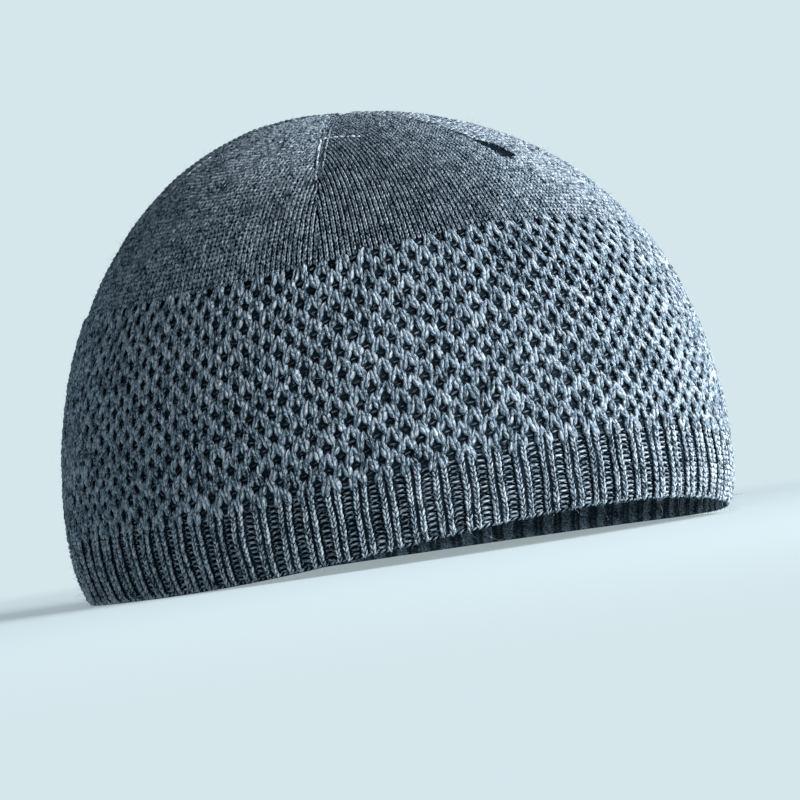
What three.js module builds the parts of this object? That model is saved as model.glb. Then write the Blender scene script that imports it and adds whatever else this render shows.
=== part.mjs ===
// A close-fitting knitted kufi cap: a ribbed band at the rim, a moss-stitch side above it, and a
// plain-knit crown that six linked darts draw in to a dome. Millimetres, +Z up. The rim rests on
// Z = 0 at the sides and the back and arches up a little at the front. The middle of the oval is
// the origin and the front of the cap faces -Y.
import * as THREE from "three";

// Driving sizes of the outer face.
const LENGTH = 194; // front to back across the widest part
const WIDTH = 170; // ear to ear across the widest part
const RIB_HEIGHT = 18; // the ribbed band, up from the rim
const SIDE_HEIGHT = 57; // the moss-stitch side, up from the band
const CROWN_HEIGHT = 44.4; // the plain-knit crown, up from the side to the apex
const WIDEST_HEIGHT = 15.6; // where the cap is widest
const RIM_DRAW = 3.2; // how far the rim draws in from the widest part
const DOME_FULLNESS = 2.17; // exponent of the dome's curve: 2 is an ellipse and more is fuller
const BACK_RISE = 3.7; // the most that the dome is raised behind the apex and lowered before it
const FRONT_ARCH = 7.2; // how far the rim, and the rows above it, arch up in the middle of the front
const ARCH_FOCUS = 3; // power of the arch's curve: more keeps it nearer to the front

// Knitted walls.
const RIB_WALL = 2.8; // over the ribs outside and inside
const SIDE_WALL = 2.8;
const CROWN_WALL = 1.8;
const CROWN_STEP = 0.5; // how far the thinner crown lies below the face of the side
const RIM_ROUNDING = 0.4; // how far the cast-on edge rolls in on both faces
const RIM_ROLL_HEIGHT = 0.9; // how high above the rim that roll ends
const JOIN_GAP = 0.3; // clearance between neighbouring pieces

// Ribs.
const RIB_COUNT = 84;
const RIB_DEPTH = 0.9; // from the top of a rib to the bottom of the channel beside it

// Darts in the crown.
const DART_TURN = 17; // degrees from the front to the first dart, towards the wearer's left
const DART_LENGTH = 55; // from the apex to the end of a dart, seen from above
const DART_WIDTH = 5; // across the crease
const DART_DEPTH = 1.0;
const DART_FADE = 9; // the last stretch, where the crease runs out into the flat knit
const SEAM_WIDTH = 2.4; // the linked edges that stand inside the cap under each dart
const SEAM_HEIGHT = 1.6;
const SEAM_START = 5; // how far from the apex a seam begins, so that they don't meet

const SIDE_COLUMNS = 80;
const SIDE_ROWS = 7;
const CROWN_ROWS = 12;
const GORE_COLUMNS = 6; // plain columns between the creases of two darts
const SEAM_ROWS = 12;
const TINY = 1e-6;

const HEIGHT = RIB_HEIGHT + SIDE_HEIGHT + CROWN_HEIGHT;
const CROWN_START = RIB_HEIGHT + SIDE_HEIGHT;
const HALF_LENGTH = LENGTH / 2;
const HALF_WIDTH = WIDTH / 2;
const RIM_SHARE = RIM_DRAW / HALF_WIDTH;
const DOME_RISE = HEIGHT + CROWN_STEP - WIDEST_HEIGHT;
const OVALNESS = (HALF_LENGTH - HALF_WIDTH) / (HALF_LENGTH + HALF_WIDTH);
// The dome is raised by this much times its place from front to back times (1 - reach ^ 2) ^ 2,
// whose largest value, at a reach of the root of 1 / 5, is BACK_RISE.
const BACK_LIFT = (BACK_RISE * 25 * Math.sqrt(5)) / 16;

// One rib and the channel beside it: where each corner lies along the pitch, and how high it is
// as a share of the depth.
const RIB_CORNERS = [
  { along: -0.19, height: 1 },
  { along: 0.19, height: 1 },
  { along: 0.31, height: 0 },
  { along: 0.69, height: 0 },
];

// Rows up the ribbed band: how far up each lies between the roll of the edge and the top, how
// much of the edge's rounding it has and how much of the ribs' depth.
const RIB_ROWS = [
  { roll: 0, up: 0, rounding: 1, relief: 0.55 },
  { roll: 1, up: 0, rounding: 0, relief: 0.9 },
  { roll: 1, up: 0.45, rounding: 0, relief: 1 },
  { roll: 1, up: 1, rounding: 0, relief: 0.85 },
];

// The linked edges of a dart in section: across as a share of the width, deep as a share of the
// height.
const SEAM_SECTION = [
  { across: 0.5, deep: 0.25 },
  { across: 0.28, deep: 0 },
  { across: -0.28, deep: 0 },
  { across: -0.5, deep: 0.25 },
  { across: -0.42, deep: 0.85 },
  { across: -0.16, deep: 1 },
  { across: 0.16, deep: 1 },
  { across: 0.42, deep: 0.85 },
];

// The darts by the wearer's sides, evenly round the apex. Each has its angle from the front, how
// far the widest oval reaches out along it, and how far it reaches across it for each radian.
const DART_PLACES = ["front", "left", "back_left", "back", "right", "front_right"];
const GORE = (2 * Math.PI) / DART_PLACES.length;
const DARTS = DART_PLACES.map((place, i) => {
  const turn = (DART_TURN * Math.PI) / 180 + i * GORE;
  const out = Math.hypot(HALF_WIDTH * Math.sin(turn), HALF_LENGTH * Math.cos(turn));
  return { name: `dart_seam_${place}`, turn, out, across: (HALF_WIDTH * HALF_LENGTH) / out };
});

const KNIT = {
  rib: new THREE.MeshStandardMaterial({ color: 0x6e7982, roughness: 0.95, metalness: 0 }),
  moss: new THREE.MeshStandardMaterial({ color: 0x6b767f, roughness: 0.97, metalness: 0 }),
  plain: new THREE.MeshStandardMaterial({ color: 0x68737d, roughness: 0.93, metalness: 0 }),
  seam: new THREE.MeshStandardMaterial({ color: 0x626d77, roughness: 0.95, metalness: 0 }),
};

// Angle on the oval at a share of the way round, so that equal shares are equal lengths of rim.
function turnAt(share) {
  const even = 2 * Math.PI * share;
  return even + (OVALNESS / 2) * Math.sin(2 * even);
}

// How far out the outer face lies at a height, as a share of the widest oval.
function reachAt(height) {
  const above = (height - WIDEST_HEIGHT) / DOME_RISE;
  if (above > 0) return (1 - above ** DOME_FULLNESS) ** (1 / DOME_FULLNESS);
  return 1 - RIM_SHARE * (1 - height / WIDEST_HEIGHT) ** 2;
}

// Height of the dome at a share of the widest oval.
function riseAt(reach) {
  return WIDEST_HEIGHT + DOME_RISE * (1 - reach ** DOME_FULLNESS) ** (1 / DOME_FULLNESS);
}

// How far the rows of the knit are arched up at an angle.
function archAt(turn) {
  return FRONT_ARCH * Math.max(0, Math.cos(turn)) ** ARCH_FOCUS;
}

// How far the dome is raised over the place (x, y, z) of the plain dome, and how steeply that
// grows along x and y.
function liftAt(x, y, z) {
  if (z <= WIDEST_HEIGHT) return { rise: 0, slopeX: 0, slopeY: 0 };
  const along = y / HALF_LENGTH;
  const inside = 1 - Math.min(1, (x / HALF_WIDTH) ** 2 + along ** 2);
  const steep = -4 * BACK_LIFT * along * inside;
  return {
    rise: BACK_LIFT * along * inside ** 2,
    slopeX: (steep * x) / HALF_WIDTH ** 2,
    slopeY: (steep * y) / HALF_LENGTH ** 2 + (BACK_LIFT * inside ** 2) / HALF_LENGTH,
  };
}

// Direction straight out of the outer face over the place (x, y, z) of the plain dome.
function outwardAt(x, y, z) {
  const reach = Math.max(Math.hypot(x / HALF_WIDTH, y / HALF_LENGTH), TINY);
  const above = (z - WIDEST_HEIGHT) / DOME_RISE;
  const flank = above > 0 ? reach ** (DOME_FULLNESS - 2) : 1 / reach;
  const lean =
    above > 0
      ? above ** (DOME_FULLNESS - 1) / DOME_RISE
      : (-2 * RIM_SHARE * (1 - z / WIDEST_HEIGHT)) / WIDEST_HEIGHT;
  const lift = liftAt(x, y, z);
  const across = (x * flank) / HALF_WIDTH ** 2 - lean * lift.slopeX;
  const along = (y * flank) / HALF_LENGTH ** 2 - lean * lift.slopeY;
  return new THREE.Vector3(across, along, lean).normalize();
}

// A point a given depth below the outer face, over the place (x, y, z) of the plain dome.
function below(x, y, z, depth) {
  const raised = z + liftAt(x, y, z).rise;
  return new THREE.Vector3(x, y, raised).addScaledVector(outwardAt(x, y, z), -depth);
}

// The same by angle and by height up the knit. A level wall point keeps its height.
function wallPoint(turn, height, depth, level = false) {
  const z = height + archAt(turn);
  const reach = reachAt(z);
  const x = HALF_WIDTH * reach * Math.sin(turn);
  const y = -HALF_LENGTH * reach * Math.cos(turn);
  if (!level) return below(x, y, z, depth);
  const outward = outwardAt(x, y, z).setZ(0).normalize();
  return new THREE.Vector3(x, y, z).addScaledVector(outward, -depth);
}

// A closed solid through rings of equally many points. The rings join up in a loop, or end in
// the two given points.
function loft(rings, ends) {
  const count = rings[0].length;
  const points = rings.flat();
  const faces = [];
  const steps = ends ? rings.length - 1 : rings.length;
  for (let i = 0; i < steps; i++) {
    const here = i * count;
    const next = ((i + 1) % rings.length) * count;
    for (let j = 0; j < count; j++) {
      const k = (j + 1) % count;
      faces.push(here + j, here + k, next + k, here + j, next + k, next + j);
    }
  }
  if (ends) {
    const first = points.push(ends[0]) - 1;
    const last = points.push(ends[1]) - 1;
    const lastRing = (rings.length - 1) * count;
    for (let j = 0; j < count; j++) {
      const k = (j + 1) % count;
      faces.push(first, k, j, lastRing + j, lastRing + k, last);
    }
  }
  const geometry = new THREE.BufferGeometry().setFromPoints(points);
  geometry.setIndex(faces);
  geometry.computeVertexNormals();
  return geometry;
}

function ribBand() {
  const top = RIB_HEIGHT - JOIN_GAP / 2;
  const face = (row, depthOf) => {
    const height = row.roll * (RIM_ROLL_HEIGHT + row.up * (top - RIM_ROLL_HEIGHT));
    const ring = [];
    for (let rib = 0; rib < RIB_COUNT; rib++)
      for (const corner of RIB_CORNERS) {
        const turn = turnAt((rib + corner.along) / RIB_COUNT);
        ring.push(wallPoint(turn, height, depthOf(row, corner.height), true));
      }
    return ring;
  };
  const outside = (row, height) =>
    row.rounding * RIM_ROUNDING + row.relief * RIB_DEPTH * (1 - height);
  const inside = (row, height) =>
    RIB_WALL - row.rounding * RIM_ROUNDING - row.relief * RIB_DEPTH * height;
  const upwards = RIB_ROWS.map((row) => face(row, outside));
  const downwards = RIB_ROWS.map((row) => face(row, inside)).reverse();
  return loft([...upwards, ...downwards]);
}

function mossSide() {
  const bottom = RIB_HEIGHT + JOIN_GAP / 2;
  const top = CROWN_START - JOIN_GAP / 2;
  const face = (depth) => {
    const rings = [];
    for (let row = 0; row <= SIDE_ROWS; row++) {
      const height = bottom + ((top - bottom) * row) / SIDE_ROWS;
      const ring = [];
      for (let column = 0; column < SIDE_COLUMNS; column++)
        ring.push(wallPoint(turnAt(column / SIDE_COLUMNS), height, depth));
      rings.push(ring);
    }
    return rings;
  };
  return loft([...face(0), ...face(SIDE_WALL).reverse()]);
}

// Depth of a dart's crease at a distance from its line and a distance from the apex.
function creaseAt(aside, out) {
  const flank = Math.max(0, 1 - aside / (DART_WIDTH / 2)) ** 1.5;
  const left = THREE.MathUtils.clamp((DART_LENGTH - out) / DART_FADE, 0, 1);
  return DART_DEPTH * flank * left * left * (3 - 2 * left);
}

// The columns of one gore at a share of the way out from the apex to the crown's edge: the line
// of its dart, the crease beside it, the plain knit and the near half of the next crease, each
// with its angle and the depth that the creases give it.
function goreColumns(dart, next, edgeAt, share) {
  const widest = GORE / 4; // where the creases close in on each other near the apex
  const lipAt = (near, turn) =>
    Math.min(DART_WIDTH / 2 / (near.across * edgeAt(turn) * share), widest);
  const first = lipAt(dart, dart.turn);
  const last = lipAt(next, dart.turn + GORE);
  const places = [0, first / 2];
  for (let i = 0; i <= GORE_COLUMNS; i++)
    places.push(first + ((GORE - first - last) * i) / GORE_COLUMNS);
  places.push(GORE - last / 2);
  return places.map((place) => {
    const near = place < GORE / 2 ? dart : next;
    const turn = dart.turn + place;
    const reach = edgeAt(turn) * share;
    const aside = Math.min(place, GORE - place) * near.across * reach;
    return { turn, reach, crease: creaseAt(aside, near.out * reach) };
  });
}

function crown() {
  const edgeAt = (turn) => reachAt(CROWN_START + JOIN_GAP / 2 + archAt(turn));
  const face = (depth) => {
    const rings = [];
    for (let row = 0; row < CROWN_ROWS; row++) {
      const share = 1 - row / CROWN_ROWS;
      const ring = [];
      DARTS.forEach((dart, i) => {
        const next = DARTS[(i + 1) % DARTS.length];
        for (const { turn, reach, crease } of goreColumns(dart, next, edgeAt, share)) {
          const x = HALF_WIDTH * reach * Math.sin(turn);
          const y = -HALF_LENGTH * reach * Math.cos(turn);
          ring.push(below(x, y, riseAt(reach), depth + crease));
        }
      });
      rings.push(ring);
    }
    return rings;
  };
  const apex = (depth) => below(0, 0, riseAt(0), depth + DART_DEPTH);
  const outer = CROWN_STEP;
  const inner = CROWN_STEP + CROWN_WALL;
  return loft([...face(inner).reverse(), ...face(outer)], [apex(inner), apex(outer)]);
}

// The linked edges under one dart, from near the apex to where the crease runs out.
function dartSeam({ turn }) {
  const line = new THREE.Vector2(
    HALF_WIDTH * Math.sin(turn),
    -HALF_LENGTH * Math.cos(turn),
  ).normalize();
  const roof = CROWN_STEP + CROWN_WALL + DART_DEPTH + JOIN_GAP;
  const place = (out, across, deep) => {
    const x = line.x * out - line.y * across * SEAM_WIDTH;
    const y = line.y * out + line.x * across * SEAM_WIDTH;
    const z = riseAt(Math.hypot(x / HALF_WIDTH, y / HALF_LENGTH));
    return below(x, y, z, roof + deep * SEAM_HEIGHT);
  };
  const rings = [];
  for (let row = 0; row <= SEAM_ROWS; row++) {
    const out = SEAM_START + ((DART_LENGTH - SEAM_START) * row) / SEAM_ROWS;
    rings.push(SEAM_SECTION.map(({ across, deep }) => place(out, across, deep)));
  }
  const ends = [place(SEAM_START, 0, 0.5), place(DART_LENGTH, 0, 0.5)];
  return loft(rings, ends);
}

function piece(name, geometry, material) {
  const mesh = new THREE.Mesh(geometry, material);
  mesh.name = name;
  return mesh;
}

const group = new THREE.Group();
group.add(piece("rib_band", ribBand(), KNIT.rib));
group.add(piece("moss_side", mossSide(), KNIT.moss));
group.add(piece("crown", crown(), KNIT.plain));
for (const dart of DARTS) group.add(piece(dart.name, dartSeam(dart), KNIT.seam));

export default group;
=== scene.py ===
"""The looks of a close-fitting knitted kufi cap.

The cap is one grey heather yarn in three fabrics: a two by two rib at the rim, a double moss
stitch up the side and plain knit over the crown, which six linked darts draw in to a dome.
Each fabric is a closed, softly modelled ground with single strands of yarn laid on it, stitch
by stitch. The strands are laid out flat by one Geometry Nodes tree and then bent onto the cap.
"""

import logging
import math
from dataclasses import dataclass, field
from enum import Enum
from typing import ClassVar, Sequence

import bpy
import numpy as np
from mathutils import Matrix, Vector


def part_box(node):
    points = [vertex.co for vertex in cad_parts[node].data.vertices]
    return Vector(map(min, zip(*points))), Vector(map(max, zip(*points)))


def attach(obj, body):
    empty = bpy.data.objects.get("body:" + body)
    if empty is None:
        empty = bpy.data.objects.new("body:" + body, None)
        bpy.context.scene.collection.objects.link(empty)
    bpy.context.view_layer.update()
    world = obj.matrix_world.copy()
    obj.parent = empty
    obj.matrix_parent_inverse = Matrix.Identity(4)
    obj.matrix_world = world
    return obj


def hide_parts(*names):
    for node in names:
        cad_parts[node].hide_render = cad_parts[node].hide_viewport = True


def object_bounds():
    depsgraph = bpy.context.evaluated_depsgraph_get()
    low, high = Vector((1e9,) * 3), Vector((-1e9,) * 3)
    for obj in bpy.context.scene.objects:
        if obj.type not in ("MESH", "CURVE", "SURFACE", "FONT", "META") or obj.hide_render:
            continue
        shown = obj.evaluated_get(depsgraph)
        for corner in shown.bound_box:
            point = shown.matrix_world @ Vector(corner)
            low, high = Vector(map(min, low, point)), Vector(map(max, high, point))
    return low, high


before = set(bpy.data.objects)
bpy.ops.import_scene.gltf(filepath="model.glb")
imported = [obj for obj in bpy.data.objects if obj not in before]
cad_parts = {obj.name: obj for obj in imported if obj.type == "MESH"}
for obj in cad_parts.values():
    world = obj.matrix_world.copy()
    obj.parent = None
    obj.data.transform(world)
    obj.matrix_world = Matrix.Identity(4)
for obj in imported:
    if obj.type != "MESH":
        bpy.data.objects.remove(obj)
cad_box = [list(corner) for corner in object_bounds()]

MM = 0.001
GORE_SPAN = math.pi / 3
FIRST_DART = math.radians(17)
LOG = logging.getLogger("kufi")

# The most that x (1 - x squared) squared comes to, which is the form of the raised back.
LIFT_PEAK = 16.0 / (25.0 * math.sqrt(5.0))
# How far a strand's tint shifts the fibres in it, so that no two strands have the same ones.
FIBRE_SHIFTS = (331.0, 173.0, 59.0)
# How far the tips and the edges of a strand of height 1 lie below its middle line.
TIP_SINK = 0.15
EDGE_SINK = 0.12


class Dart(Enum):
    """The six darts by the wearer's sides, each by its number of gores past the first."""

    FRONT = 0
    LEFT = 1
    BACK_LEFT = 2
    BACK = 3
    RIGHT = 4
    FRONT_RIGHT = 5

    @property
    def turn(self) -> float:
        """The dart's angle from the front."""
        return FIRST_DART + self.value * GORE_SPAN


def smooth(share: np.ndarray) -> np.ndarray:
    """A soft step from 0 to 1 as share goes from 0 to 1."""
    held = np.clip(share, 0.0, 1.0)
    return held * held * (3.0 - 2.0 * held)


def unit(vectors: np.ndarray) -> np.ndarray:
    """The rows of an array as directions of length 1."""
    return vectors / np.maximum(np.linalg.norm(vectors, axis=-1, keepdims=True), 1e-12)


@dataclass(frozen=True)
class CapSkin:
    """The smooth outer face that every piece of the cap is measured from.

    Places on it are given by a turn round the oval from the front, towards the wearer's left,
    and by a height up the knit. Depths are measured straight in from it.
    """

    half_width: float
    half_length: float
    height: float
    widest_height: float = 15.6 * MM
    rim_draw: float = 3.2 * MM
    fullness: float = 2.17
    back_rise: float = 3.7 * MM
    front_arch: float = 7.2 * MM
    arch_focus: float = 3
    crown_start: float = 75 * MM
    crown_step: float = 0.5 * MM
    crest: float = 1.16 * MM

    @classmethod
    def from_frame(cls) -> "CapSkin":
        """The skin with the width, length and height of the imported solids, less its crest."""
        low, high = (Vector(corner) for corner in cad_box)
        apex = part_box("crown")[1].z - cls.crest + cls.crown_step
        return cls((high.x - low.x) / 2, (high.y - low.y) / 2, apex)

    @property
    def dome_rise(self) -> float:
        """Height of the dome's apex above the widest part."""
        return self.height - self.widest_height

    @property
    def ovalness(self) -> float:
        """How far the oval is from round."""
        return (self.half_length - self.half_width) / (self.half_length + self.half_width)

    @property
    def mean_radius(self) -> float:
        """The radius of a circle about as large as the oval."""
        return math.sqrt(self.half_length * self.half_width)

    def reach_out(self, turn: np.ndarray) -> np.ndarray:
        """How far from the middle the widest oval lies at an angle."""
        return np.hypot(self.half_width * np.sin(turn), self.half_length * np.cos(turn))

    def turn_at(self, share: np.ndarray) -> np.ndarray:
        """Angle at a share of the way round, so that equal shares are equal lengths of rim."""
        even = 2.0 * np.pi * share
        return even + (self.ovalness / 2.0) * np.sin(2.0 * even)

    def arch_at(self, turn: np.ndarray) -> np.ndarray:
        """How far the rows of the knit are arched up at an angle."""
        return self.front_arch * np.maximum(0.0, np.cos(turn)) ** self.arch_focus

    def reach_at(self, z: np.ndarray) -> np.ndarray:
        """How far out the plain dome lies at a height, as a share of the widest oval."""
        above = np.clip((z - self.widest_height) / self.dome_rise, 0.0, 1.0)
        dome = (1.0 - above**self.fullness) ** (1.0 / self.fullness)
        draw = (self.rim_draw / self.half_width) * (1.0 - z / self.widest_height) ** 2
        return np.where(z > self.widest_height, dome, 1.0 - draw)

    def rise_at(self, reach: np.ndarray) -> np.ndarray:
        """Height of the plain dome at a share of the widest oval."""
        inside = np.clip(1.0 - reach**self.fullness, 0.0, 1.0)
        return self.widest_height + self.dome_rise * inside ** (1.0 / self.fullness)

    def on_skin(self, turn: np.ndarray, reach: np.ndarray, z: np.ndarray) -> tuple:
        """Points of the outer face and the directions straight out of it.

        Args:
            turn: Angles round the oval.
            reach: Shares of the widest oval.
            z: Heights of the plain dome at those places.

        Returns:
            The points and the outward directions, one row for each place.
        """
        x = self.half_width * reach * np.sin(turn)
        y = -self.half_length * reach * np.cos(turn)
        lift = self.back_rise / LIFT_PEAK
        domed = z > self.widest_height
        along = y / self.half_length
        inside = np.where(domed, 1.0 - np.minimum(1.0, reach**2), 0.0)
        steep = -4.0 * lift * along * inside
        slope_x = steep * x / self.half_width**2
        slope_y = steep * y / self.half_length**2 + lift * inside**2 / self.half_length
        above = np.clip((z - self.widest_height) / self.dome_rise, 0.0, 1.0)
        held = np.maximum(reach, 1e-6)
        flank = np.where(domed, held ** (self.fullness - 2.0), 1.0 / held)
        draw = self.rim_draw / self.half_width
        foot = -2.0 * draw * (1.0 - z / self.widest_height) / self.widest_height
        lean = np.where(domed, above ** (self.fullness - 1.0) / self.dome_rise, foot)
        out_x = x * flank / self.half_width**2 - lean * slope_x
        out_y = y * flank / self.half_length**2 - lean * slope_y
        points = np.stack([x, y, z + lift * along * inside**2], axis=-1)
        return points, unit(np.stack([out_x, out_y, lean], axis=-1))

    def wall(self, turn: np.ndarray, height: np.ndarray, depth: np.ndarray) -> np.ndarray:
        """Points of the side or the rib band.

        Args:
            turn: Angles round the oval.
            height: Heights up the knit from the rim.
            depth: Depths below the outer face.

        Returns:
            One point for each place, in metres.
        """
        z = height + self.arch_at(turn)
        points, outward = self.on_skin(turn, self.reach_at(z), z)
        return points - outward * depth[..., None]

    def dome(self, turn: np.ndarray, reach: np.ndarray, depth: np.ndarray) -> np.ndarray:
        """Points of the crown by angle, share of the widest oval and depth."""
        points, outward = self.on_skin(turn, reach, self.rise_at(reach))
        return points - outward * depth[..., None]


@dataclass(frozen=True)
class CreaseSizes:
    """The creases that the darts leave in the crown."""

    length: float = 55 * MM
    width: float = 5 * MM
    depth: float = 1.0 * MM
    fade: float = 9 * MM
    sharpness: float = 1.5

    def depth_at(self, aside: np.ndarray, out: np.ndarray) -> np.ndarray:
        """Depth of a crease at a distance from its line and from the apex."""
        flank = np.clip(1.0 - aside / (self.width / 2.0), 0.0, 1.0) ** self.sharpness
        return self.depth * flank * smooth((self.length - out) / self.fade)


class CrownPlan:
    """Where the courses and wales of the crown run.

    The courses are evenly spaced from the edge of the side to the apex. In each gore the wales
    draw in with the dome up to the foot of the darts, and from there on they bend softly until
    they run straight, beside the middle of the gore, and end at a dart.
    """

    straight_start = 0.66
    softness = 6.0
    steps = 2000

    def __init__(self, skin: CapSkin, creases: CreaseSizes, wales: int) -> None:
        """Measures the way from the crown's edge to the apex.

        Args:
            skin: The cap's outer face.
            creases: The sizes of the darts' creases.
            wales: How many wales each gore has at its edge.
        """
        self.skin = skin
        self.creases = creases
        self.wales = wales
        reach = np.linspace(1.0, 0.0, self.steps + 1)
        run = np.diff(reach) * skin.mean_radius
        climb = np.diff(skin.rise_at(reach))
        self._reach = reach
        self._way = np.concatenate([[0.0], np.cumsum(np.hypot(run, climb))])

    def edge_at(self, turn: np.ndarray) -> np.ndarray:
        """The reach of the crown's edge at an angle."""
        return self.skin.reach_at(self.skin.crown_start + self.skin.arch_at(turn))

    def length(self) -> float:
        """The way from the crown's edge to the apex on the side that has no arch."""
        edge = float(self.edge_at(np.array(math.pi)))
        return float(self._way[-1] - np.interp(1.0 - edge, 1.0 - self._reach, self._way))

    def reach_of(self, turn: np.ndarray, share: np.ndarray) -> np.ndarray:
        """The reach at a share of the way from the crown's edge to the apex."""
        start = np.interp(1.0 - self.edge_at(turn), 1.0 - self._reach, self._way)
        way = start + (self._way[-1] - start) * share
        return np.interp(way, self._way, self._reach)

    def spread_of(self, share: np.ndarray) -> np.ndarray:
        """How much wider than its place on the rim a wale lies, which is more near the apex."""
        reach = self.reach_of(np.full_like(share, math.pi), share)
        narrowed = self.straight_start / np.maximum(reach, 1e-4)
        return (1.0 + narrowed**self.softness) ** (1.0 / self.softness)

    def sink_at(self, turn: np.ndarray, reach: np.ndarray) -> np.ndarray:
        """How deep the creases of the darts make the crown at a place."""
        dart = FIRST_DART + np.round((turn - FIRST_DART) / GORE_SPAN) * GORE_SPAN
        far = self.skin.reach_out(dart)
        across = self.skin.mean_radius**2 / far
        return self.creases.depth_at(np.abs(turn - dart) * across * reach, far * reach)


class Value:
    """A number or a node's output, with arithmetic that adds Math nodes."""

    def __init__(self, graph: "YarnGraph", link: object) -> None:
        """Keeps the graph that the value belongs to and its socket or number."""
        self.graph = graph
        self.link = link

    def _math(self, operation: str, first: object, second: object = 0.0) -> "Value":
        """One Math node on two values."""
        return self.graph.node("ShaderNodeMath", {"operation": operation}, {0: first, 1: second})

    def __add__(self, other: object) -> "Value":
        """The sum of both."""
        return self._math("ADD", self, other)

    __radd__ = __add__

    def __mul__(self, other: object) -> "Value":
        """The product of both."""
        return self._math("MULTIPLY", self, other)

    __rmul__ = __mul__

    def __sub__(self, other: object) -> "Value":
        """This less the other."""
        return self._math("SUBTRACT", self, other)

    def __rsub__(self, other: object) -> "Value":
        """The other less this."""
        return self._math("SUBTRACT", other, self)

    def held(self) -> "Value":
        """This kept between 0 and 1."""
        return self.graph.node("ShaderNodeClamp", {}, {0: self})


class YarnGraph:
    """A material's node tree, written as expressions."""

    def __init__(self, name: str) -> None:
        """Makes an empty node material of that name."""
        self.material = bpy.data.materials.new(name)
        self.material.use_nodes = True
        self.tree = self.material.node_tree
        self.tree.nodes.clear()

    def node(self, kind: str, settings: dict, inputs: dict, output: object = 0) -> Value:
        """Adds one node.

        Args:
            kind: The node's type.
            settings: Properties that are set first. A ramp's stops are (place, colour) pairs.
            inputs: Values or links by the number or name of their socket.
            output: The number or name of the socket that is returned.

        Returns:
            The chosen output as a value.
        """
        made = self.tree.nodes.new(kind)
        for name, setting in settings.items():
            if name == "stops":
                self._set_stops(made.color_ramp, setting)
            else:
                setattr(made, name, setting)
        for socket, value in inputs.items():
            link = value.link if isinstance(value, Value) else value
            if isinstance(link, bpy.types.NodeSocket):
                self.tree.links.new(link, made.inputs[socket])
            else:
                made.inputs[socket].default_value = link
        return Value(self, made.outputs[output])

    def attribute(self, name: str, output: str = "Fac") -> Value:
        """An attribute of the mesh."""
        return self.node("ShaderNodeAttribute", {"attribute_name": name}, {}, output)

    def noise(self, place: Value, scale: float, detail: float, grain: float) -> Value:
        """Noise at a place, between 0 and 1."""
        inputs = {"Vector": place, "Scale": scale, "Detail": detail, "Roughness": grain}
        return self.node("ShaderNodeTexNoise", {}, inputs, "Fac")

    @staticmethod
    def _set_stops(ramp: bpy.types.ColorRamp, stops: Sequence) -> None:
        """Gives a colour ramp its stops, as (place, colour) pairs."""
        while len(ramp.elements) < len(stops):
            ramp.elements.new(1.0)
        for element, (place, colour) in zip(ramp.elements, stops):
            element.position = place
            element.color = (*colour, 1.0)

    def finish(self, shader: Value) -> bpy.types.Material:
        """Joins a shader to the output and returns the material."""
        output = self.tree.nodes.new("ShaderNodeOutputMaterial")
        self.tree.links.new(shader.link, output.inputs["Surface"])
        return self.material


@dataclass(frozen=True)
class YarnFinish:
    """Grey heather yarn: light and dark fibres carded together and loosely spun.

    The colours are linear, from the black of the deepest painted shade to the lightest fibre.
    """

    name: str
    black: tuple = (0.003, 0.006, 0.010)
    slate: tuple = (0.030, 0.048, 0.064)
    grey: tuple = (0.184, 0.244, 0.300)
    pale: tuple = (0.47, 0.53, 0.585)
    slate_at: float = 0.25
    grey_at: float = 0.55
    fibre_scale: float = 3.1
    fibre_stretch: tuple = (1.0, 0.32, 1.0)
    fibre_detail: float = 2.0
    fleck_scale: float = 260.0
    fleck_detail: float = 3.0
    grain: float = 0.6
    fibre_share: float = 1.15
    fleck_share: float = 0.40
    strand_share: float = 0.34
    brightness: float = 0.53
    bump: float = 0.07 * MM
    roughness: float = 0.92

    def make(self) -> bpy.types.Material:
        """Builds the material.

        Returns:
            The material. It reads three attributes of a mesh: the place in the strand, which is
            in millimetres across and along it, the strand's own tint and its painted shading, which
            is painted shade where it is positive and a painted highlight where it is negative.
        """
        graph = YarnGraph(self.name)
        place = graph.node("ShaderNodeTexCoord", {}, {}, "Object")
        stretched = {0: graph.attribute("fibre", "Vector"), 1: self.fibre_stretch}
        along = graph.node("ShaderNodeVectorMath", {"operation": "MULTIPLY"}, stretched)
        fibres = graph.noise(along, self.fibre_scale, self.fibre_detail, self.grain)
        flecks = graph.noise(place, self.fleck_scale, self.fleck_detail, self.grain)
        strand = graph.attribute("strand")
        hollow = graph.attribute("hollow")
        spread = (
            (fibres - 0.5) * (2.0 * self.fibre_share)
            + (flecks - 0.5) * (2.0 * self.fleck_share)
            + (strand - 0.5) * self.strand_share
        )
        # Painted shading scales the tone down to painted shade, or up to a painted highlight where
        # it is negative.
        tone = ((spread + self.brightness) * (1.0 - hollow)).held()
        stops = (
            (0.0, self.black),
            (self.slate_at, self.slate),
            (self.grey_at, self.grey),
            (1.0, self.pale),
        )
        relief = {"Height": fibres, "Distance": self.bump, "Strength": 1.0}
        looks = {
            "Base Color": graph.node("ShaderNodeValToRGB", {"stops": stops}, {0: tone}, "Color"),
            "Roughness": self.roughness,
            "Specular IOR Level": 0.0,
            "Normal": graph.node("ShaderNodeBump", {}, relief, "Normal"),
        }
        return graph.finish(graph.node("ShaderNodeBsdfPrincipled", {}, looks))


@dataclass(frozen=True)
class Strand:
    """One strand of a stitch repeat, laid flat.

    Across and up are its middle's place in the repeat, and proud is how far that lies over the
    outer face. These and its width, length and thickness are in millimetres. Lean and dip are
    in degrees: how far its top leans to the right, and how far its top dips in. Its painted
    shading is painted shade that darkens a strand lying deep, and where it is negative it is a
    painted highlight that brightens one.
    """

    across: float
    up: float
    proud: float
    lean: float
    width: float
    length: float
    thick: float
    hollow: float = 0.0
    dip: float = 0.0
    bowed: bool = False


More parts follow.
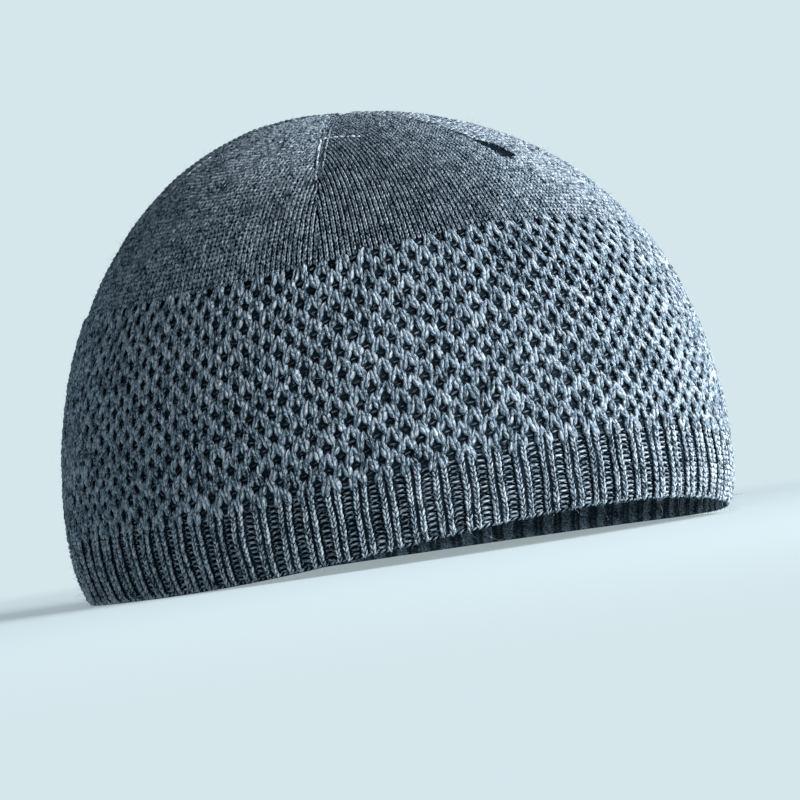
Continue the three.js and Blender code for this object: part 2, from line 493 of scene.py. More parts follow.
@dataclass
class Laid:
    """Strands laid out as one mesh's worth of arrays."""

    PER_POINT: ClassVar[tuple] = ("points", "strand", "hollow", "centres", "fibre")

    points: np.ndarray
    faces: np.ndarray
    strand: np.ndarray
    hollow: np.ndarray
    centres: np.ndarray
    fibre: np.ndarray

    def only(self, keep: np.ndarray, corners: int) -> "Laid":
        """The same without the strands that keep leaves out.

        Args:
            keep: True for each strand that stays.
            corners: How many points one strand has.

        Returns:
            The strands that stay, numbered afresh.
        """
        points = np.repeat(keep, corners)
        fresh = np.cumsum(points) - 1
        faces = self.faces[points[self.faces[:, 0]]]
        kept = {name: getattr(self, name)[points] for name in self.PER_POINT}
        return Laid(faces=fresh[faces], **kept)


def strand_mesh(name: str, rings: int, bow: float) -> bpy.types.Object:
    """One closed strand of yarn, 1 by 1 by 1, along Y, tapering to a point at both ends.

    Args:
        name: The name of the object.
        rings: How many sections it has between its points.
        bow: How far its middle is bent to the left of its ends.

    Returns:
        An object that is linked to no collection.
    """
    points = [(0.0, -0.5, -TIP_SINK)]
    for ring in range(rings):
        along = -0.5 + (ring + 1.0) / (rings + 1.0)
        swell = math.sqrt(1.0 - (2.0 * along) ** 2)
        aside = bow * (1.0 - 4.0 * along**2)
        points += [
            (aside - 0.5 * swell, along, -EDGE_SINK),
            (aside, along, 0.5 * swell),
            (aside + 0.5 * swell, along, -EDGE_SINK),
        ]
    points.append((0.0, 0.5, -TIP_SINK))
    last = len(points) - 1
    faces = [(0, 2, 1), (0, 3, 2), (0, 1, 3)]
    for ring in range(rings - 1):
        here = 1 + 3 * ring
        for side in range(3):
            near, far = here + side, here + (side + 1) % 3
            faces += [(near, far + 3, near + 3), (near, far, far + 3)]
    here = last - 3
    faces += [(here, here + 1, last), (here + 1, here + 2, last), (here + 2, here, last)]
    mesh = bpy.data.meshes.new(name)
    mesh.from_pydata(points, [], faces)
    mesh.validate()
    return bpy.data.objects.new(name, mesh)


class StrandTree:
    """The Geometry Nodes tree that lays one strand of a repeat out over a flat swatch."""

    INPUTS = (
        ("Strand", "NodeSocketObject"),
        ("Across", "NodeSocketInt"),
        ("Up", "NodeSocketInt"),
        ("Pitch Across", "NodeSocketFloat"),
        ("Pitch Up", "NodeSocketFloat"),
        ("Row Shift", "NodeSocketFloat"),
        ("Start", "NodeSocketVector"),
        ("Size", "NodeSocketVector"),
        ("Lean", "NodeSocketFloat"),
        ("Dip", "NodeSocketFloat"),
        ("Stray", "NodeSocketVector"),
        ("Stray Lean", "NodeSocketFloat"),
        ("Stray Size", "NodeSocketFloat"),
        ("Seed", "NodeSocketInt"),
        ("Yarn", "NodeSocketMaterial"),
    )

    def __init__(self) -> None:
        """Builds the tree."""
        self.tree = bpy.data.node_groups.new("lay_strands", "GeometryNodeTree")
        face = self.tree.interface
        face.new_socket("Geometry", in_out="INPUT", socket_type="NodeSocketGeometry")
        for name, kind in self.INPUTS:
            face.new_socket(name, in_out="INPUT", socket_type=kind)
        face.new_socket("Geometry", in_out="OUTPUT", socket_type="NodeSocketGeometry")
        self.given = self.tree.nodes.new("NodeGroupInput").outputs
        self._build()

    def _node(self, kind: str, settings: dict, inputs: dict, output: object = 0) -> object:
        """Adds one node and returns the chosen output socket."""
        made = self.tree.nodes.new(kind)
        for name, setting in settings.items():
            setattr(made, name, setting)
        for socket, value in inputs.items():
            if isinstance(value, bpy.types.NodeSocket):
                self.tree.links.new(value, made.inputs[socket])
            else:
                made.inputs[socket].default_value = value
        return made.outputs[output]

    def _math(self, operation: str, first: object, second: object = 0.0) -> object:
        """One Math node."""
        return self._node("ShaderNodeMath", {"operation": operation}, {0: first, 1: second})

    def _vector(self, operation: str, first: object, second: object) -> object:
        """One Vector Math node."""
        made = {"operation": operation}
        return self._node("ShaderNodeVectorMath", made, {0: first, 1: second})

    def _random(self, low: object, high: object, salt: int) -> object:
        """A random number or vector for each strand."""
        seed = self._math("ADD", self.given["Seed"], float(salt))
        if isinstance(low, tuple):
            kind = {"data_type": "FLOAT_VECTOR"}
            return self._node("FunctionNodeRandomValue", kind, {0: low, 1: high, "Seed": seed})
        sockets = {2: low, 3: high, "Seed": seed}
        return self._node("FunctionNodeRandomValue", {"data_type": "FLOAT"}, sockets, 1)

    def _build(self) -> None:
        """Adds the nodes from the points to the realized strands."""
        given = self.given
        count = self._math("MULTIPLY", given["Across"], given["Up"])
        index = self._node("GeometryNodeInputIndex", {}, {})
        row = self._math("FLOOR", self._math("DIVIDE", index, given["Across"]))
        column = self._math("SUBTRACT", index, self._math("MULTIPLY", row, given["Across"]))
        shift = self._math("MULTIPLY", self._math("MODULO", row, 2.0), given["Row Shift"])
        across = self._math("MULTIPLY", column, given["Pitch Across"])
        place = self._node(
            "ShaderNodeCombineXYZ",
            {},
            {0: self._math("ADD", across, shift), 1: self._math("MULTIPLY", row, given["Pitch Up"])},
        )
        wander = self._vector(
            "MULTIPLY", self._random((-1.0, -1.0, -1.0), (1.0, 1.0, 1.0), 1), given["Stray"]
        )
        place = self._vector("ADD", self._vector("ADD", place, given["Start"]), wander)
        points = self._node("GeometryNodePoints", {}, {"Count": count, "Position": place})
        tilt = self._math("MULTIPLY", self._random(-1.0, 1.0, 2), given["Stray Lean"])
        lean = self._math("SUBTRACT", tilt, given["Lean"])
        dip = self._math("MULTIPLY", given["Dip"], -1.0)
        turn = self._node("ShaderNodeCombineXYZ", {}, {0: dip, 2: lean})
        grow = self._math("MULTIPLY", self._random(-1.0, 1.0, 3), given["Stray Size"])
        grown = self._math("ADD", grow, 1.0)
        size = self._vector("MULTIPLY", given["Size"], grown)
        shape = self._node("GeometryNodeObjectInfo", {}, {"Object": given["Strand"]}, "Geometry")
        laid = self._node(
            "GeometryNodeInstanceOnPoints",
            {},
            {"Points": points, "Instance": shape, "Rotation": turn, "Scale": size},
        )
        laid = self._node(
            "GeometryNodeStoreNamedAttribute",
            {"data_type": "FLOAT", "domain": "INSTANCE"},
            {"Geometry": laid, "Name": "strand", "Value": self._random(0.0, 1.0, 4)},
        )
        real = self._node("GeometryNodeRealizeInstances", {}, {0: laid})
        dressed = self._node(
            "GeometryNodeSetMaterial", {}, {"Geometry": real, "Material": given["Yarn"]}
        )
        output = self.tree.nodes.new("NodeGroupOutput")
        self.tree.links.new(dressed, output.inputs[0])

    def lay(self, values: dict) -> bpy.types.Mesh:
        """Runs the tree once and returns its result as a plain mesh.

        Args:
            values: The tree's inputs by name.

        Returns:
            A new mesh that no object uses.
        """
        base = bpy.data.objects.new("swatch", bpy.data.meshes.new("swatch"))
        bpy.context.scene.collection.objects.link(base)
        modifier = base.modifiers.new("lay_strands", "NODES")
        modifier.node_group = self.tree
        for item in self.tree.interface.items_tree:
            if item.item_type == "SOCKET" and item.in_out == "INPUT" and item.name in values:
                modifier[item.identifier] = values[item.name]
        graph = bpy.context.evaluated_depsgraph_get()
        mesh = bpy.data.meshes.new_from_object(base.evaluated_get(graph), depsgraph=graph)
        base.modifiers.remove(modifier)
        bpy.data.objects.remove(base)
        return mesh


@dataclass(frozen=True)
class Unevenness:
    """How unevenly the strands of a fabric lie: in millimetres, degrees and a share."""

    aside: float = 0.10
    along: float = 0.10
    proud: float = 0.06
    lean: float = 7.0
    size: float = 0.13


@dataclass
class Swatch:
    """A flat stitch pattern: a short table of strands and how often it repeats."""

    strands: Sequence[Strand]
    across: int
    up: int
    repeat_across: float
    repeat_up: float
    row_shift: float = 0.0
    uneven: Unevenness = field(default_factory=Unevenness)
    seed: int = 1


class StrandLayer:
    """Lays swatches out flat and hands them on as arrays."""

    def __init__(self, yarn: bpy.types.Material) -> None:
        """Makes the tree and the two shapes of strand.

        Args:
            yarn: The material of all strands.
        """
        self.yarn = yarn
        self.tree = StrandTree()
        self.straight = strand_mesh("straight_strand", 2, 0.0)
        self.bowed = strand_mesh("bowed_strand", 3, 0.22)

    def lay(self, swatch: Swatch, strand: Strand, salt: int) -> tuple:
        """One strand of a swatch at all its places.

        Args:
            swatch: The pattern that the strand belongs to.
            strand: The strand's row of the table.
            salt: A number that keeps its chance apart from the others'.

        Returns:
            The laid strands, and how many points each has.
        """
        shape = self.bowed if strand.bowed else self.straight
        uneven = swatch.uneven
        mesh = self.tree.lay(
            {
                "Strand": shape,
                "Across": swatch.across,
                "Up": swatch.up,
                "Pitch Across": swatch.repeat_across,
                "Pitch Up": swatch.repeat_up,
                "Row Shift": swatch.row_shift,
                "Start": (strand.across, strand.up, strand.proud),
                "Size": (strand.width, strand.length, strand.thick),
                "Lean": math.radians(strand.lean),
                "Dip": math.radians(strand.dip),
                "Stray": (uneven.aside, uneven.along, uneven.proud),
                "Stray Lean": math.radians(uneven.lean),
                "Stray Size": uneven.size,
                "Seed": swatch.seed * 100 + salt,
                "Yarn": self.yarn,
            }
        )
        points = np.empty(len(mesh.vertices) * 3)
        mesh.vertices.foreach_get("co", points)
        points = points.reshape(-1, 3)
        faces = np.empty(len(mesh.polygons) * 3, dtype=np.int64)
        mesh.polygons.foreach_get("vertices", faces)
        tint = np.empty(len(mesh.vertices))
        mesh.attributes["strand"].data.foreach_get("value", tint)
        bpy.data.meshes.remove(mesh)
        corners = len(shape.data.vertices)
        middle = points.reshape(-1, corners, 3).mean(axis=1)
        outline = np.array([vertex.co for vertex in shape.data.vertices])
        outline *= (strand.width, strand.length, strand.thick)
        laid = Laid(
            points,
            faces.reshape(-1, 3),
            tint,
            np.full(len(points), strand.hollow),
            np.repeat(middle, corners, axis=0),
            np.tile(outline, (len(middle), 1)) + np.outer(tint, FIBRE_SHIFTS),
        )
        return laid, corners

    def lay_all(self, swatch: Swatch) -> Laid:
        """All strands of a swatch, in the order of its table."""
        return join_laid([self.lay(swatch, row, i)[0] for i, row in enumerate(swatch.strands)])

    def clear(self) -> None:
        """Removes the two shapes, which no piece uses once it is laid."""
        for shape in (self.straight, self.bowed):
            bpy.data.objects.remove(shape)


def join_laid(parts: Sequence[Laid]) -> Laid:
    """Several sets of strands as one."""
    starts = np.cumsum([0] + [len(part.points) for part in parts[:-1]])
    faces = np.concatenate([part.faces + start for part, start in zip(parts, starts)])
    joined = {
        name: np.concatenate([getattr(part, name) for part in parts]) for name in Laid.PER_POINT
    }
    return Laid(faces=faces, **joined)


def make_piece(name: str, laid: Laid, material: bpy.types.Material) -> bpy.types.Object:
    """A smooth-shaded object from arrays.

    Args:
        name: The piece's name.
        laid: Its points, faces and attributes, in place.
        material: Its only material.

    Returns:
        The object, at the origin and linked to the scene.
    """
    mesh = bpy.data.meshes.new(name)
    mesh.vertices.add(len(laid.points))
    mesh.vertices.foreach_set("co", laid.points.astype(np.float32).ravel())
    mesh.loops.add(laid.faces.size)
    mesh.loops.foreach_set("vertex_index", laid.faces.astype(np.int32).ravel())
    mesh.polygons.add(len(laid.faces))
    mesh.polygons.foreach_set("loop_start", np.arange(0, laid.faces.size, 3, dtype=np.int32))
    for label, values in (("strand", laid.strand), ("hollow", laid.hollow)):
        layer = mesh.attributes.new(label, "FLOAT", "POINT")
        layer.data.foreach_set("value", values.astype(np.float32))
    layer = mesh.attributes.new("fibre", "FLOAT_VECTOR", "POINT")
    layer.data.foreach_set("vector", laid.fibre.astype(np.float32).ravel())
    mesh.update(calc_edges=True)
    mesh.validate()
    mesh.shade_smooth()
    mesh.materials.append(material)
    piece = bpy.data.objects.new(name, mesh)
    bpy.context.scene.collection.objects.link(piece)
    return piece


def loft_rings(rings: np.ndarray, tipped: bool = False) -> np.ndarray:
    """Faces of a closed solid through rings of equally many points.

    Args:
        rings: Points as an array of rings by points by 3. They join up in a loop, or end in
            two more points.
        tipped: True where the solid ends in two points, which are numbered after the rings'.

    Returns:
        Triangles as rows of point numbers.
    """
    steps, count = rings.shape[0], rings.shape[1]
    last = steps - 1 if tipped else steps
    here = (np.arange(last) * count)[:, None]
    beyond = ((np.arange(last) + 1) % steps * count)[:, None]
    side = np.arange(count)[None, :]
    nearby = (side + 1) % count
    quads = np.stack([here + side, here + nearby, beyond + nearby, beyond + side], -1).reshape(-1, 4)
    faces = [quads[:, [0, 1, 2]], quads[:, [0, 2, 3]]]
    if tipped:
        first = steps * count
        row = np.arange(count)
        after = (row + 1) % count
        top = (steps - 1) * count
        faces.append(np.stack([np.full(count, first), after, row], -1))
        faces.append(np.stack([top + row, top + after, np.full(count, first + 1)], -1))
    return np.concatenate(faces)


def ground_piece(rings: Sequence[np.ndarray], hollows: Sequence[np.ndarray]) -> Laid:
    """A closed wall through rings, with the painted shade of each of its points."""
    stacked = np.stack(rings)
    points = stacked.reshape(-1, 3)
    shade = np.stack(hollows).reshape(-1)
    tint = np.full(len(points), 0.5)
    return Laid(points, loft_rings(stacked), tint, shade, points, points / MM)


@dataclass
class KnitWaver:
    """The slow wander of rows and wales that every knitted fabric has, in metres."""

    aside: float = 0.22 * MM
    along: float = 0.25 * MM
    proud: float = 0.14 * MM
    seed: int = 11
    waves: int = 7
    longest: float = 46 * MM
    shortest: float = 9 * MM

    def at(self, around: np.ndarray, up: np.ndarray) -> tuple:
        """The wander at places of a flat fabric.

        Args:
            around: Lengths round the cap.
            up: Heights up the knit.

        Returns:
            How far each place moves round, up and out.
        """
        chance = np.random.default_rng(self.seed)
        moved = []
        for size in (self.aside, self.along, self.proud):
            total = np.zeros_like(around)
            for wave in range(self.waves):
                span = self.longest * (self.shortest / self.longest) ** (wave / (self.waves - 1))
                angle, start = chance.uniform(0.0, 2.0 * np.pi, 2)
                way = around * math.cos(angle) + up * math.sin(angle)
                total += np.sin(2.0 * np.pi * way / span + start)
            moved.append(total * size / math.sqrt(self.waves))
        return tuple(moved)


@dataclass
class KnitCount:
    """How many stitches the cap has, the same for all its fabrics."""

    repeats: int = 84
    wales_in_repeat: int = 4
    rib_courses: int = 14
    moss_rows: int = 20
    crown_courses: int = 61

    @property
    def wales(self) -> int:
        """All wales round the cap."""
        return self.repeats * self.wales_in_repeat


@dataclass
class RibBand:
    """The two by two ribbed band, from the cast-on edge to the moss stitch."""

    skin: CapSkin
    count: KnitCount
    waver: KnitWaver
    height: float = 18 * MM
    wall: float = 2.8 * MM
    rib_depth: float = 0.9 * MM
    edge_roll: float = 0.4 * MM
    roll_height: float = 1.6 * MM
    steady_height: float = 3.0 * MM
    join_gap: float = 0.15 * MM
    ground_sink: float = 0.35 * MM
    rib_half: float = 0.19
    rib_flank: float = 0.12
    cleft_depth: float = 0.45
    first_course: float = 0.45
    inner_relief: float = 0.7
    # Painted shade on the ground under the ribs, and more of it in the purl channels between them.
    rib_dark: float = 0.78
    channel_dark: float = 0.20
    columns: int = 12
    rows: int = 14

    def pitch(self) -> float:
        """The width of one wale at the widest part, in millimetres."""
        around = np.pi * (self.skin.half_width + self.skin.half_length)
        return around / self.count.wales / MM

    def course(self) -> float:
        """The height of one course, in millimetres."""
        return self.height / self.count.rib_courses / MM

    def table(self) -> list:
        """One course of two knitted wales and the purl wales in the channel beside them.
        The knitted legs carry a painted highlight, strongest on the rightmost leg, and the purl
        strands carry painted shade.
        """
        wale, course = self.pitch(), self.course()
        ridge, leg = 0.66 * wale, 0.20 * wale
        return [
            Strand(-ridge - leg, 0.0, -0.12, -20, 0.76, 2.2, 0.95, -0.12, 6),
            Strand(-ridge + leg, 0.1, -0.16, 22, 0.66, 2.0, 0.80, -0.18, 6),
            Strand(ridge - leg, 0.1, -0.16, -22, 0.66, 2.0, 0.80, -0.18, 6),
            Strand(ridge + leg, 0.0, -0.08, 20, 0.80, 2.2, 1.0, -0.36, 6),
            Strand(2.0 * wale, 0.5 * course, -0.82, 90, 0.74, 2.7, 0.76, 0.0, 0, True),
            Strand(1.42 * wale, 0.0, -0.95, 60, 0.52, 1.6, 0.5, 0.36),
            Strand(2.58 * wale, 0.0, -0.95, -60, 0.52, 1.6, 0.5, 0.36),
        ]

    def profile(self, along: np.ndarray) -> np.ndarray:
        """Height of the ribs' ground as a share of their depth, at a place in the repeat."""
        folded = np.abs(along - np.round(along))
        cleft = self.cleft_depth * (1.0 - smooth(folded / self.rib_flank))
        return 1.0 - smooth((folded - self.rib_half) / self.rib_flank) - cleft

    def roll_at(self, up: np.ndarray) -> np.ndarray:
        """How far the cast-on edge is rolled in at a height."""
        return self.edge_roll * (1.0 - smooth(up / self.roll_height))

    def bend(self, flat: np.ndarray) -> np.ndarray:
        """Takes points of the flat swatch, in millimetres, onto the band."""
        around, up, proud = flat[:, 0] * MM, flat[:, 1] * MM, flat[:, 2] * MM
        aside, along, out = self.waver.at(around, up)
        steady = smooth(up / self.steady_height)
        share = (around + aside * steady) / (self.pitch() * MM * self.count.wales)
        turn = self.skin.turn_at(share)
        depth = self.roll_at(up) - proud - out * steady
        points = self.skin.wall(turn, up + along * steady, depth)
        points[:, 2] = np.maximum(points[:, 2], 0.0)
        return points

    def ground(self) -> Laid:
        """The closed ribbed wall that the strands lie on."""
        places = np.arange(self.count.repeats * self.columns) / self.columns
        turn = self.skin.turn_at(places / self.count.repeats)
        ridge = self.profile(places)
        top = self.height - self.join_gap
        rings, hollows = [], []
        for row in range(self.rows + 1):
            up = np.full_like(turn, top * row / self.rows)
            depth = self.roll_at(up) + self.ground_sink + self.rib_depth * (1.0 - ridge)
            rings.append(self.skin.wall(turn, up, depth))
            # Painted shade on the outer face of the ground, darkest in the channels.
            hollows.append(self.rib_dark + self.channel_dark * (1.0 - ridge))
        for row in reversed(range(self.rows + 1)):
            up = np.full_like(turn, top * row / self.rows)
            inward = self.edge_roll * (row == 0) + self.inner_relief * self.rib_depth * ridge
            rings.append(self.skin.wall(turn, up, self.wall - inward))
            # Painted shade on the inner face of the band, darker behind the ribs.
            hollows.append(0.1 + 0.5 * ridge)
        for edge in (0, -1):
            rings[edge][:, 2] = self.skin.arch_at(turn)
        return ground_piece(rings, hollows)

    def edge(self, layer: StrandLayer) -> Laid:
        """The cast-on edge: a row of slanting strands under the first course."""
        wale = self.pitch()
        slant = Strand(0.0, -0.35, -0.42, 62, 0.66, 2.0, 0.9)
        return layer.lay_all(Swatch([slant], self.count.wales, 1, wale, 1.0, seed=5))

    def build(self, layer: StrandLayer) -> bpy.types.Object:
        """Makes the band as one piece."""
        sizes = (self.count.repeats, self.count.rib_courses)
        span = self.pitch() * self.count.wales_in_repeat
        swatch = Swatch(self.table(), *sizes, span, self.course(), seed=2)
        strands = join_laid([layer.lay_all(swatch), self.edge(layer)])
        strands.points[:, 1] += self.first_course * self.course()
        strands.points = self.bend(strands.points)
        return make_piece("rib_band_knit", join_laid([self.ground(), strands]), layer.yarn)


@dataclass
class MossSide:
    """The side in double moss stitch, with its staggered bumps and the dips between, where painted
    shade darkens the ground.
    """

    skin: CapSkin
    count: KnitCount
    waver: KnitWaver
    band: RibBand
    wall: float = 2.8 * MM
    join_gap: float = 0.15 * MM
    ground_sink: float = 0.45 * MM
    relief: float = 0.75 * MM
    inner_relief: float = 0.35 * MM
    edge_tuck: float = 0.5 * MM
    # Painted shade on the ground: some under the bumps and more in the dips between them.
    bump_dark: float = 0.68
    hollow_dark: float = 0.26
    leg_out: float = 0.58
    leg_in: float = 0.40
    uneven: Unevenness = Unevenness(aside=0.17, along=0.17, proud=0.13, lean=11.0, size=0.17)
    columns: int = 6
    rows_in_repeat: int = 2
    inner_rows: int = 20

    def row(self) -> float:
        """The height of one row of bumps, which is two courses, in millimetres."""
        return (self.skin.crown_start - self.band.height) / self.count.moss_rows / MM

    def table(self) -> list:
        """One bump: two legs that part below, each of two stitches' strands."""
        strands = []
        for side in (-1, 1):
            for up, out, proud in ((0.80, 0.80, -0.06), (-0.85, 1.26, 0.0)):
                outer, inner = side * (out + self.leg_out), side * (out - self.leg_in)
                strands.append(Strand(outer, up, proud - 0.12, -side * 6, 1.44, 3.6, 1.3, 0, 8))
                strands.append(Strand(inner, up + 0.1, proud, -side * 22, 1.36, 3.5, 1.25, 0, 8))
        return strands

    def hollow_table(self) -> list:
        """The purl strands at the bottom of the dip between two bumps, darkened with painted shade.
        """
        wale = self.band.pitch()
        return [
            Strand(2.0 * wale, 0.45, -0.70, 80, 0.62, 2.6, 0.6, 0.46),
            Strand(2.0 * wale, -0.75, -0.90, 98, 0.66, 2.4, 0.6, 0.56),
        ]

    def bend(self, flat: np.ndarray) -> np.ndarray:
        """Takes points of the flat swatch, in millimetres, onto the side."""
        around, up, proud = flat[:, 0] * MM, flat[:, 1] * MM, flat[:, 2] * MM
        aside, along, out = self.waver.at(around, self.band.height + up)
        share = (around + aside) / (self.band.pitch() * MM * self.count.wales)
        turn = self.skin.turn_at(share)
        return self.skin.wall(turn, self.band.height + up + along, -proud - out)

    def ground(self) -> Laid:
        """The closed wall under the bumps."""
        repeats = self.count.repeats
        places = np.arange(repeats * self.columns) / self.columns
        turn = self.skin.turn_at(places / repeats)
        bottom = self.band.height + self.join_gap
        top = self.skin.crown_start - self.join_gap
        rows = self.count.moss_rows * self.rows_in_repeat
        rings, hollows = [], []
        for row in range(rows + 1):
            up = bottom + (top - bottom) * row / rows
            level = row / self.rows_in_repeat
            bump = 0.5 + 0.5 * np.cos(2.0 * np.pi * places) * math.cos(math.pi * (level - 0.5))
            tuck = self.edge_tuck * (row == rows)
            depth = self.ground_sink + tuck + self.relief * (1.0 - bump)
            rings.append(self.skin.wall(turn, np.full_like(turn, up), depth))
            # Painted shade on the outer face, darkest in the dips; the last ring is painted black,
            # as shade over its lit top face.
            dark = self.bump_dark + self.hollow_dark * (1.0 - bump)
            hollows.append(np.maximum(dark, float(row == rows)))
        for row in reversed(range(self.inner_rows + 1)):
            up = bottom + (top - bottom) * row / self.inner_rows
            bump = 0.5 + 0.5 * np.cos(2.0 * np.pi * (places + 0.5 * (row % 2)))
            depth = self.wall - self.inner_relief * bump
            rings.append(self.skin.wall(turn, np.full_like(turn, up), depth))
            # Painted shade on the inner face, darker between its bumps.
            hollows.append(0.1 + 0.4 * (1.0 - bump))
        return ground_piece(rings, hollows)

    def build(self, layer: StrandLayer) -> list:
        """Makes the bumps and the ground with its hollows, as two pieces."""
        wale, row = self.band.pitch(), self.row()
        span = wale * self.count.wales_in_repeat
        sizes = (self.count.repeats, self.count.moss_rows, span, row, span / 2)
        laid = []
        for seed, table in ((3, self.table()), (4, self.hollow_table())):
            strands = layer.lay_all(Swatch(table, *sizes, uneven=self.uneven, seed=seed))
            strands.points[:, 1] += 0.5 * row
            strands.points = self.bend(strands.points)
            laid.append(strands)
        bumps = make_piece("moss_side_bumps", laid[0], layer.yarn)
        ground = make_piece("moss_side_ground", join_laid([self.ground(), laid[1]]), layer.yarn)
        return [bumps, ground]


@dataclass
class Crown:
    """The plain-knit crown: six gores of stitches on one creased ground."""

    skin: CapSkin
    count: KnitCount
    waver: KnitWaver
    plan: CrownPlan
    wall: float = 1.8 * MM
    ground_sink: float = 0.42 * MM
    # Painted shade: near black on the ground between the stitches and at its apex, light on the
    # inner face.
    outer_dark: float = 0.95
    inner_dark: float = 0.15
    tip_dark: float = 0.85
    last_share: float = 0.995
    last_stitch: float = 0.985
    dart_gap: float = 0.5
    gap_ease: float = 0.5
    open_gap: float = 2.3
    open_foot: tuple = (46 * MM, 59 * MM)
    foot_ease: tuple = (4 * MM, 3 * MM)
    open_line: float = 0.70
    line_start: float = 6 * MM
    ground_columns: int = 16
    ground_rows: int = 40

    def table(self) -> list:
        """One stitch: the two legs of its V. Across and the widths are in wales here."""
        return [
            Strand(-0.19, 0.0, -0.02, -7, 0.37, 2.4, 1.0, 0.0, 8),
            Strand(0.19, 0.0, -0.02, 7, 0.37, 2.4, 1.0, 0.0, 8),
        ]

    def course(self) -> float:
        """The height of one course, in millimetres."""
        return self.plan.length() / self.count.crown_courses / MM

    def share_at(self, flat: np.ndarray) -> np.ndarray:
        """The share of the way from the crown's edge to the apex of points of the swatch."""
        return np.clip(flat[:, 1] * MM / self.plan.length(), 0.0, self.last_share)

    def bend(self, flat: np.ndarray, dart: Dart) -> np.ndarray:
        """Takes points of the flat swatch, in wales and millimetres, onto the gore at a dart."""
        share = self.share_at(flat)
        spread = self.plan.spread_of(share)
        turn = dart.turn + (0.5 + flat[:, 0] / self.plan.wales * spread) * GORE_SPAN
        reach = self.plan.reach_of(turn, share)
        depth = self.skin.crown_step + self.plan.sink_at(turn, reach)
        around = turn * self.skin.mean_radius
        _, _, out = self.waver.at(around, flat[:, 1] * MM)
        return self.skin.dome(turn, reach, depth - flat[:, 2] * MM - out)

    def gore(self, layer: StrandLayer, dart: Dart) -> bpy.types.Object:
        """The stitches of the gore to the left of a dart, which end where they meet one."""
        wales, course = self.plan.wales, self.course()
        swatch = Swatch(
            self.table(),
            wales,
            self.count.crown_courses,
            1.0,
            course,
            uneven=Unevenness(aside=0.04, along=0.14, proud=0.06, lean=3.0, size=0.14),
            seed=20 + dart.value,
        )
        kept = []
        for i, strand in enumerate(swatch.strands):
            laid, corners = layer.lay(swatch, strand, i)
            for places in (laid.points, laid.centres):
                places[:, 0] -= wales / 2 - 0.5
                places[:, 1] += 0.5 * course
            centre = laid.centres[::corners]
            share = self.share_at(centre)
            spread = self.plan.spread_of(share)
            edge = wales / 2 / spread - self.dart_gap * smooth((spread - 1.0) / self.gap_ease)
            edge -= self.widening(dart, centre[:, 0] > 0.0, share)
            within = (np.abs(centre[:, 0]) < edge) & (share < self.last_stitch)
            kept.append(laid.only(within, corners))
        strands = join_laid(kept)
        strands.points = self.bend(strands.points, dart)
        return make_piece(f"crown_gore_{dart.value + 1}", strands, layer.yarn)

    def widening(self, dart: Dart, far: np.ndarray, share: np.ndarray) -> np.ndarray:
        """How many wales more the foot of the open dart leaves free on each of its sides.

        Args:
            dart: The dart that the gore starts at.
            far: True for strands in the half of the gore at the next dart.
            share: Places on the way from the crown's edge to the apex.

        Returns:
            Wales for each place, which are 0 beside all other darts.
        """
        turn = np.full_like(share, Dart.FRONT.turn)
        out = self.plan.reach_of(turn, share) * self.skin.reach_out(turn)
        start, end = self.open_foot
        opening, closing = self.foot_ease
        shut = smooth((end - out) / closing)
        foot = smooth((out - start) / opening) * shut
        line = smooth((out - self.line_start) / self.line_start) * shut
        beside = np.where(far, dart is Dart.FRONT_RIGHT, dart is Dart.FRONT)
        return (self.open_gap * foot + self.open_line * line) * beside

    def ground(self, layer: StrandLayer) -> bpy.types.Object:
        """The closed creased dome under the stitches, darkened with painted shade."""
        columns = len(Dart) * self.ground_columns
        turn = FIRST_DART + np.arange(columns) / self.ground_columns * GORE_SPAN
        rows = range(self.ground_rows)
        inner, outer = (self.wall, self.inner_dark), (self.ground_sink, self.outer_dark)
        rings, shade = [], []
        for (depth, dark), order in ((inner, reversed(rows)), (outer, rows)):
            for row in order:
                reach = self.plan.reach_of(turn, np.full_like(turn, row / self.ground_rows))
                sink = self.skin.crown_step + depth + self.plan.sink_at(turn, reach)
                rings.append(self.skin.dome(turn, reach, sink))
                shade.append(np.full_like(turn, dark))
        apex = np.zeros(1)
        deep = self.skin.crown_step + self.plan.creases.depth
        tips = [self.skin.dome(apex, apex, apex + deep + depth) for depth, _ in (inner, outer)]
        stacked = np.stack(rings)
        points = np.concatenate([stacked.reshape(-1, 3)] + tips)
        faces = loft_rings(stacked, tipped=True)
        tint = np.full(len(points), 0.5)
        dark = np.concatenate([np.stack(shade).reshape(-1), [self.inner_dark, self.tip_dark]])
        dome = Laid(points, faces, tint, dark, points, points / MM)
        return make_piece("crown_ground", dome, layer.yarn)

    def build(self, layer: StrandLayer) -> list:
        """Makes the ground and the gores."""
        return [self.ground(layer)] + [self.gore(layer, dart) for dart in Dart]


